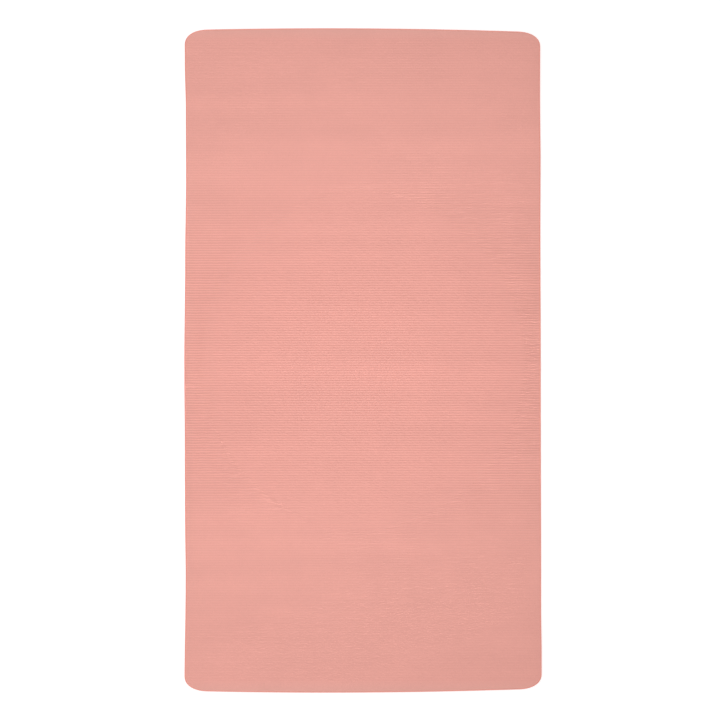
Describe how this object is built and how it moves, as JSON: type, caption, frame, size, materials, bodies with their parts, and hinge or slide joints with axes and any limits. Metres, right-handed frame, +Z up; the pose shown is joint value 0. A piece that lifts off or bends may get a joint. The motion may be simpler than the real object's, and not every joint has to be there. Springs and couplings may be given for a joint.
{
  "type": "ribbed foam gym mat",
  "caption": "Flat one-piece exercise mat of soft foam, rectangular with rounded corners, ribbed across its width, that rolls up from one end.",
  "frame": {"origin": "middle of the mat's underside, on the floor that it lies on", "axes": "+X across the mat, +Y along its length towards the end that goes into the core of the roll, +Z up"},
  "size_m": [0.998, 1.862, 0.015],
  "materials": {
    "foam": "matt closed-cell nitrile foam, salmon pink"
  },
  "bodies": {
    "strip_01": {"foam_strip_01": "foam"},
    "strip_02": {"foam_strip_02": "foam"},
    "strip_03": {"foam_strip_03": "foam"},
    "strip_04": {"foam_strip_04": "foam"},
    "strip_05": {"foam_strip_05": "foam"},
    "strip_06": {"foam_strip_06": "foam"},
    "strip_07": {"foam_strip_07": "foam"},
    "strip_08": {"foam_strip_08": "foam"},
    "strip_09": {"foam_strip_09": "foam"},
    "strip_10": {"foam_strip_10": "foam"},
    "strip_11": {"foam_strip_11": "foam"},
    "strip_12": {"foam_strip_12": "foam"},
    "strip_13": {"foam_strip_13": "foam"},
    "strip_14": {"foam_strip_14": "foam"},
    "strip_15": {"foam_strip_15": "foam"},
    "strip_16": {"foam_strip_16": "foam"},
    "strip_17": {"foam_strip_17": "foam"},
    "strip_18": {"foam_strip_18": "foam"},
    "strip_19": {"foam_strip_19": "foam"},
    "strip_20": {"foam_strip_20": "foam"},
    "strip_21": {"foam_strip_21": "foam"},
    "strip_22": {"foam_strip_22": "foam"},
    "strip_23": {"foam_strip_23": "foam"},
    "strip_24": {"foam_strip_24": "foam"},
    "strip_25": {"foam_strip_25": "foam"},
    "strip_26": {"foam_strip_26": "foam"},
    "strip_27": {"foam_strip_27": "foam"},
    "strip_28": {"foam_strip_28": "foam"},
    "strip_29": {"foam_strip_29": "foam"},
    "strip_30": {"foam_strip_30": "foam"},
    "strip_31": {"foam_strip_31": "foam"},
    "strip_32": {"foam_strip_32": "foam"},
    "strip_33": {"foam_strip_33": "foam"},
    "strip_34": {"foam_strip_34": "foam"},
    "strip_35": {"foam_strip_35": "foam"},
    "strip_36": {"foam_strip_36": "foam"},
    "strip_37": {"foam_strip_37": "foam"},
    "strip_38": {"foam_strip_38": "foam"},
    "strip_39": {"foam_strip_39": "foam"},
    "strip_40": {"foam_strip_40": "foam"},
    "strip_41": {"foam_strip_41": "foam"},
    "strip_42": {"foam_strip_42": "foam"},
    "strip_43": {"foam_strip_43": "foam"},
    "strip_44": {"foam_strip_44": "foam"},
    "strip_45": {"foam_strip_45": "foam"},
    "strip_46": {"foam_strip_46": "foam"},
    "strip_47": {"foam_strip_47": "foam"},
    "strip_48": {"foam_strip_48": "foam"},
    "strip_49": {"foam_strip_49": "foam"},
    "strip_50": {"foam_strip_50": "foam"},
    "strip_51": {"foam_strip_51": "foam"},
    "strip_52": {"foam_strip_52": "foam"},
    "strip_53": {"foam_strip_53": "foam"},
    "strip_54": {"foam_strip_54": "foam"},
    "strip_55": {"foam_strip_55": "foam"},
    "strip_56": {"foam_strip_56": "foam"},
    "strip_57": {"foam_strip_57": "foam"},
    "strip_58": {"foam_strip_58": "foam"},
    "strip_59": {"foam_strip_59": "foam"},
    "strip_60": {"foam_strip_60": "foam"}
  },
  "joints": [
    {"name": "bend_01", "type": "hinge", "parent": "strip_01", "child": "strip_02", "pos_m": [0, -0.882, 0.0141], "axis": [1, 0, 0], "range_deg": [0, 26.22], "stiffness_Nm_per_rad": 1.02},
    {"name": "bend_02", "type": "hinge", "parent": "strip_02", "child": "strip_03", "pos_m": [0, -0.833, 0.0141], "axis": [1, 0, 0], "range_deg": [0, 26.55], "stiffness_Nm_per_rad": 1.02},
    {"name": "bend_03", "type": "hinge", "parent": "strip_03", "child": "strip_04", "pos_m": [0, -0.784, 0.0141], "axis": [1, 0, 0], "range_deg": [0, 26.89], "stiffness_Nm_per_rad": 1.02},
    {"name": "bend_04", "type": "hinge", "parent": "strip_04", "child": "strip_05", "pos_m": [0, -0.735, 0.0141], "axis": [1, 0, 0], "range_deg": [0, 27.24], "stiffness_Nm_per_rad": 1.02},
    {"name": "bend_05", "type": "hinge", "parent": "strip_05", "child": "strip_06", "pos_m": [0, -0.686, 0.0141], "axis": [1, 0, 0], "range_deg": [0, 25.71], "stiffness_Nm_per_rad": 1.099},
    {"name": "bend_06", "type": "hinge", "parent": "strip_06", "child": "strip_07", "pos_m": [0, -0.644, 0.0141], "axis": [1, 0, 0], "range_deg": [0, 26.01], "stiffness_Nm_per_rad": 1.099},
    {"name": "bend_07", "type": "hinge", "parent": "strip_07", "child": "strip_08", "pos_m": [0, -0.595, 0.0141], "axis": [1, 0, 0], "range_deg": [0, 26.39], "stiffness_Nm_per_rad": 1.099},
    {"name": "bend_08", "type": "hinge", "parent": "strip_08", "child": "strip_09", "pos_m": [0, -0.553, 0.0141], "axis": [1, 0, 0], "range_deg": [0, 26.72], "stiffness_Nm_per_rad": 1.099},
    {"name": "bend_09", "type": "hinge", "parent": "strip_09", "child": "strip_10", "pos_m": [0, -0.504, 0.0141], "axis": [1, 0, 0], "range_deg": [0, 27.12], "stiffness_Nm_per_rad": 1.099},
    {"name": "bend_10", "type": "hinge", "parent": "strip_10", "child": "strip_11", "pos_m": [0, -0.462, 0.0141], "axis": [1, 0, 0], "range_deg": [0, 25.44], "stiffness_Nm_per_rad": 1.19},
    {"name": "bend_11", "type": "hinge", "parent": "strip_11", "child": "strip_12", "pos_m": [0, -0.42, 0.0141], "axis": [1, 0, 0], "range_deg": [0, 25.79], "stiffness_Nm_per_rad": 1.19},
    {"name": "bend_12", "type": "hinge", "parent": "strip_12", "child": "strip_13", "pos_m": [0, -0.378, 0.0141], "axis": [1, 0, 0], "range_deg": [0, 26.15], "stiffness_Nm_per_rad": 1.19},
    {"name": "bend_13", "type": "hinge", "parent": "strip_13", "child": "strip_14", "pos_m": [0, -0.336, 0.0141], "axis": [1, 0, 0], "range_deg": [0, 26.53], "stiffness_Nm_per_rad": 1.19},
    {"name": "bend_14", "type": "hinge", "parent": "strip_14", "child": "strip_15", "pos_m": [0, -0.294, 0.0141], "axis": [1, 0, 0], "range_deg": [0, 26.93], "stiffness_Nm_per_rad": 1.19},
    {"name": "bend_15", "type": "hinge", "parent": "strip_15", "child": "strip_16", "pos_m": [0, -0.252, 0.0141], "axis": [1, 0, 0], "range_deg": [0, 27.34], "stiffness_Nm_per_rad": 1.19},
    {"name": "bend_16", "type": "hinge", "parent": "strip_16", "child": "strip_17", "pos_m": [0, -0.21, 0.0141], "axis": [1, 0, 0], "range_deg": [0, 25.54], "stiffness_Nm_per_rad": 1.299},
    {"name": "bend_17", "type": "hinge", "parent": "strip_17", "child": "strip_18", "pos_m": [0, -0.175, 0.0141], "axis": [1, 0, 0], "range_deg": [0, 25.89], "stiffness_Nm_per_rad": 1.299},
    {"name": "bend_18", "type": "hinge", "parent": "strip_18", "child": "strip_19", "pos_m": [0, -0.133, 0.0141], "axis": [1, 0, 0], "range_deg": [0, 26.33], "stiffness_Nm_per_rad": 1.299},
    {"name": "bend_19", "type": "hinge", "parent": "strip_19", "child": "strip_20", "pos_m": [0, -0.098, 0.0141], "axis": [1, 0, 0], "range_deg": [0, 26.72], "stiffness_Nm_per_rad": 1.299},
    {"name": "bend_20", "type": "hinge", "parent": "strip_20", "child": "strip_21", "pos_m": [0, -0.056, 0.0141], "axis": [1, 0, 0], "range_deg": [0, 27.2], "stiffness_Nm_per_rad": 1.299},
    {"name": "bend_21", "type": "hinge", "parent": "strip_21", "child": "strip_22", "pos_m": [0, -0.021, 0.0141], "axis": [1, 0, 0], "range_deg": [0, 25.2], "stiffness_Nm_per_rad": 1.429},
    {"name": "bend_22", "type": "hinge", "parent": "strip_22", "child": "strip_23", "pos_m": [0, 0.014, 0.0141], "axis": [1, 0, 0], "range_deg": [0, 25.61], "stiffness_Nm_per_rad": 1.429},
    {"name": "bend_23", "type": "hinge", "parent": "strip_23", "child": "strip_24", "pos_m": [0, 0.049, 0.0141], "axis": [1, 0, 0], "range_deg": [0, 26.04], "stiffness_Nm_per_rad": 1.429},
    {"name": "bend_24", "type": "hinge", "parent": "strip_24", "child": "strip_25", "pos_m": [0, 0.084, 0.0141], "axis": [1, 0, 0], "range_deg": [0, 26.49], "stiffness_Nm_per_rad": 1.429},
    {"name": "bend_25", "type": "hinge", "parent": "strip_25", "child": "strip_26", "pos_m": [0, 0.119, 0.0141], "axis": [1, 0, 0], "range_deg": [0, 26.96], "stiffness_Nm_per_rad": 1.429},
    {"name": "bend_26", "type": "hinge", "parent": "strip_26", "child": "strip_27", "pos_m": [0, 0.154, 0.0141], "axis": [1, 0, 0], "range_deg": [0, 27.47], "stiffness_Nm_per_rad": 1.429},
    {"name": "bend_27", "type": "hinge", "parent": "strip_27", "child": "strip_28", "pos_m": [0, 0.189, 0.0141], "axis": [1, 0, 0], "range_deg": [0, 25.29], "stiffness_Nm_per_rad": 1.587},
    {"name": "bend_28", "type": "hinge", "parent": "strip_28", "child": "strip_29", "pos_m": [0, 0.217, 0.0141], "axis": [1, 0, 0], "range_deg": [0, 25.7], "stiffness_Nm_per_rad": 1.587},
    {"name": "bend_29", "type": "hinge", "parent": "strip_29", "child": "strip_30", "pos_m": [0, 0.252, 0.0141], "axis": [1, 0, 0], "range_deg": [0, 26.24], "stiffness_Nm_per_rad": 1.587},
    {"name": "bend_30", "type": "hinge", "parent": "strip_30", "child": "strip_31", "pos_m": [0, 0.28, 0.0141], "axis": [1, 0, 0], "range_deg": [0, 26.7], "stiffness_Nm_per_rad": 1.587},
    {"name": "bend_31", "type": "hinge", "parent": "strip_31", "child": "strip_32", "pos_m": [0, 0.315, 0.0141], "axis": [1, 0, 0], "range_deg": [0, 27.3], "stiffness_Nm_per_rad": 1.587},
    {"name": "bend_32", "type": "hinge", "parent": "strip_32", "child": "strip_33", "pos_m": [0, 0.343, 0.0141], "axis": [1, 0, 0], "range_deg": [0, 24.83], "stiffness_Nm_per_rad": 1.786},
    {"name": "bend_33", "type": "hinge", "parent": "strip_33", "child": "strip_34", "pos_m": [0, 0.371, 0.0141], "axis": [1, 0, 0], "range_deg": [0, 25.32], "stiffness_Nm_per_rad": 1.786},
    {"name": "bend_34", "type": "hinge", "parent": "strip_34", "child": "strip_35", "pos_m": [0, 0.399, 0.0141], "axis": [1, 0, 0], "range_deg": [0, 25.84], "stiffness_Nm_per_rad": 1.786},
    {"name": "bend_35", "type": "hinge", "parent": "strip_35", "child": "strip_36", "pos_m": [0, 0.427, 0.0141], "axis": [1, 0, 0], "range_deg": [0, 26.4], "stiffness_Nm_per_rad": 1.786},
    {"name": "bend_36", "type": "hinge", "parent": "strip_36", "child": "strip_37", "pos_m": [0, 0.455, 0.0141], "axis": [1, 0, 0], "range_deg": [0, 26.99], "stiffness_Nm_per_rad": 1.786},
    {"name": "bend_37", "type": "hinge", "parent": "strip_37", "child": "strip_38", "pos_m": [0, 0.483, 0.0141], "axis": [1, 0, 0], "range_deg": [0, 27.62], "stiffness_Nm_per_rad": 1.786},
    {"name": "bend_38", "type": "hinge", "parent": "strip_38", "child": "strip_39", "pos_m": [0, 0.511, 0.0141], "axis": [1, 0, 0], "range_deg": [0, 28.31], "stiffness_Nm_per_rad": 1.786},
    {"name": "bend_39", "type": "hinge", "parent": "strip_39", "child": "strip_40", "pos_m": [0, 0.539, 0.0141], "axis": [1, 0, 0], "range_deg": [0, 25.54], "stiffness_Nm_per_rad": 2.041},
    {"name": "bend_40", "type": "hinge", "parent": "strip_40", "child": "strip_41", "pos_m": [0, 0.56, 0.0141], "axis": [1, 0, 0], "range_deg": [0, 26.06], "stiffness_Nm_per_rad": 2.041},
    {"name": "bend_41", "type": "hinge", "parent": "strip_41", "child": "strip_42", "pos_m": [0, 0.588, 0.0141], "axis": [1, 0, 0], "range_deg": [0, 26.81], "stiffness_Nm_per_rad": 2.041},
    {"name": "bend_42", "type": "hinge", "parent": "strip_42", "child": "strip_43", "pos_m": [0, 0.609, 0.0141], "axis": [1, 0, 0], "range_deg": [0, 23.62], "stiffness_Nm_per_rad": 2.381},
    {"name": "bend_43", "type": "hinge", "parent": "strip_43", "child": "strip_44", "pos_m": [0, 0.63, 0.0141], "axis": [1, 0, 0], "range_deg": [0, 28.07], "stiffness_Nm_per_rad": 2.041},
    {"name": "bend_44", "type": "hinge", "parent": "strip_44", "child": "strip_45", "pos_m": [0, 0.658, 0.0141], "axis": [1, 0, 0], "range_deg": [0, 29.02], "stiffness_Nm_per_rad": 2.041},
    {"name": "bend_45", "type": "hinge", "parent": "strip_45", "child": "strip_46", "pos_m": [0, 0.679, 0.0141], "axis": [1, 0, 0], "range_deg": [0, 25.69], "stiffness_Nm_per_rad": 2.381},
    {"name": "bend_46", "type": "hinge", "parent": "strip_46", "child": "strip_47", "pos_m": [0, 0.7, 0.0141], "axis": [1, 0, 0], "range_deg": [0, 26.43], "stiffness_Nm_per_rad": 2.381},
    {"name": "bend_47", "type": "hinge", "parent": "strip_47", "child": "strip_48", "pos_m": [0, 0.721, 0.0141], "axis": [1, 0, 0], "range_deg": [0, 27.23], "stiffness_Nm_per_rad": 2.381},
    {"name": "bend_48", "type": "hinge", "parent": "strip_48", "child": "strip_49", "pos_m": [0, 0.742, 0.0141], "axis": [1, 0, 0], "range_deg": [0, 23.57], "stiffness_Nm_per_rad": 2.857},
    {"name": "bend_49", "type": "hinge", "parent": "strip_49", "child": "strip_50", "pos_m": [0, 0.756, 0.0141], "axis": [1, 0, 0], "range_deg": [0, 24.11], "stiffness_Nm_per_rad": 2.857},
    {"name": "bend_50", "type": "hinge", "parent": "strip_50", "child": "strip_51", "pos_m": [0, 0.777, 0.0141], "axis": [1, 0, 0], "range_deg": [0, 29.79], "stiffness_Nm_per_rad": 2.381},
    {"name": "bend_51", "type": "hinge", "parent": "strip_51", "child": "strip_52", "pos_m": [0, 0.798, 0.0141], "axis": [1, 0, 0], "range_deg": [0, 25.99], "stiffness_Nm_per_rad": 2.857},
    {"name": "bend_52", "type": "hinge", "parent": "strip_52", "child": "strip_53", "pos_m": [0, 0.812, 0.0141], "axis": [1, 0, 0], "range_deg": [0, 26.72], "stiffness_Nm_per_rad": 2.857},
    {"name": "bend_53", "type": "hinge", "parent": "strip_53", "child": "strip_54", "pos_m": [0, 0.833, 0.0141], "axis": [1, 0, 0], "range_deg": [0, 27.94], "stiffness_Nm_per_rad": 2.857},
    {"name": "bend_54", "type": "hinge", "parent": "strip_54", "child": "strip_55", "pos_m": [0, 0.847, 0.0141], "axis": [1, 0, 0], "range_deg": [0, 23.25], "stiffness_Nm_per_rad": 3.571},
    {"name": "bend_55", "type": "hinge", "parent": "strip_55", "child": "strip_56", "pos_m": [0, 0.861, 0.0141], "axis": [1, 0, 0], "range_deg": [0, 24.08], "stiffness_Nm_per_rad": 3.571},
    {"name": "bend_56", "type": "hinge", "parent": "strip_56", "child": "strip_57", "pos_m": [0, 0.875, 0.0141], "axis": [1, 0, 0], "range_deg": [0, 25], "stiffness_Nm_per_rad": 3.571},
    {"name": "bend_57", "type": "hinge", "parent": "strip_57", "child": "strip_58", "pos_m": [0, 0.889, 0.0141], "axis": [1, 0, 0], "range_deg": [0, 26.04], "stiffness_Nm_per_rad": 3.571},
    {"name": "bend_58", "type": "hinge", "parent": "strip_58", "child": "strip_59", "pos_m": [0, 0.903, 0.0141], "axis": [1, 0, 0], "range_deg": [0, 27.21], "stiffness_Nm_per_rad": 3.571},
    {"name": "bend_59", "type": "hinge", "parent": "strip_59", "child": "strip_60", "pos_m": [0, 0.917, 0.0141], "axis": [1, 0, 0], "range_deg": [0, 28.56], "stiffness_Nm_per_rad": 3.571}
  ]
}
